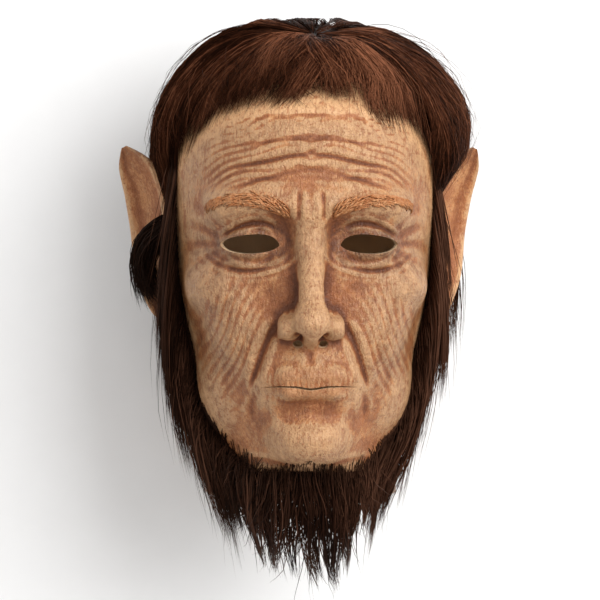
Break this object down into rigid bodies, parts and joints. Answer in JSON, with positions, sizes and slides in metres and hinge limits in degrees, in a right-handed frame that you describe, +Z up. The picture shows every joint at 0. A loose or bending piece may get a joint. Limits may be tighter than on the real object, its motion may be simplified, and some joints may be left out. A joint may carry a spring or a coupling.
{
  "type": "full-head latex mask",
  "caption": "Hollow over-the-head costume mask of painted latex with pointed ears, eye holes, wig hair and a beard, lying face up.",
  "frame": {"origin": "middle of the bounding box at its underside, the plane the flattened back hair rests on", "axes": "+Z up, out of the face; +Y towards the crown of the head; +X towards the wearer's left"},
  "size_m": [0.225, 0.3584, 0.2414],
  "materials": {
    "latex": "cast latex, painted tan with red-brown washes in the creases, satin",
    "crown_hair": "warm mid-brown synthetic wig hair, combed, soft sheen",
    "beard": "very dark brown synthetic hair, wispy ends, soft sheen"
  },
  "bodies": {
    "root": {"latex_mask": "latex", "crown_hair": "crown_hair", "beard": "beard"}
  },
  "joints": []
}
